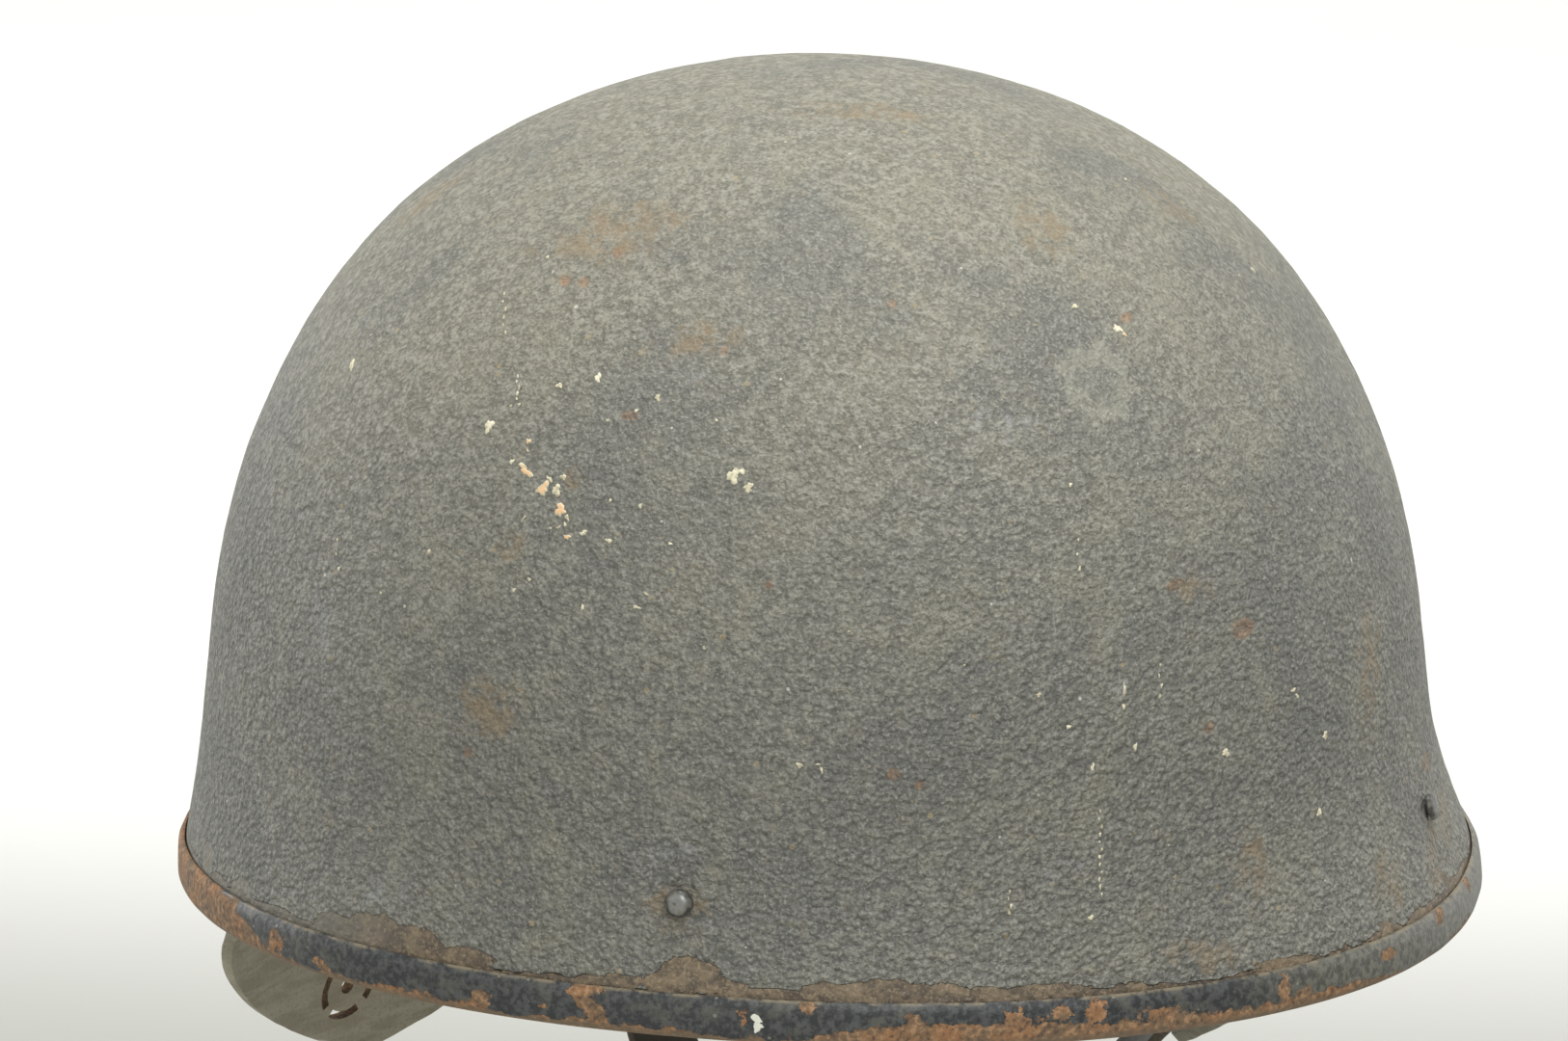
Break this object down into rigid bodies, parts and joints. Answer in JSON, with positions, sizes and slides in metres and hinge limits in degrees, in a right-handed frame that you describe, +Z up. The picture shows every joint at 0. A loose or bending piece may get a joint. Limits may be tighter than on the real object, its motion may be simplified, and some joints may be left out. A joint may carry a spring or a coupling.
{
  "type": "despatch rider helmet",
  "caption": "Oval steel riding helmet with a flared, edge-bound rim, round-head rivets, slotted leather ear flaps and a looped leather chin strap.",
  "frame": {"origin": "in the plane of the rim's lower edge, midway between the sides at the widest line, where the head goes in", "axes": "+Z up through the crown, -Y the wearer's front, +X the wearer's left"},
  "size_m": [0.2542, 0.2699, 0.2641],
  "materials": {
    "shell_paint": "matt anti-glare texture, worn",
    "rim_paint": "chipped satin over rust",
    "rivet_steel": "worn satin",
    "grey_leather": "dull and dry",
    "dark_leather": "dull satin"
  },
  "bodies": {
    "root": {"shell": "shell_paint", "rim_band": "rim_paint", "rivet_rear": "rivet_steel", "rivet_left": "rivet_steel", "rivet_right": "rivet_steel", "ear_flap_left": "grey_leather", "ear_flap_right": "grey_leather", "chin_strap": "dark_leather"}
  },
  "joints": []
}
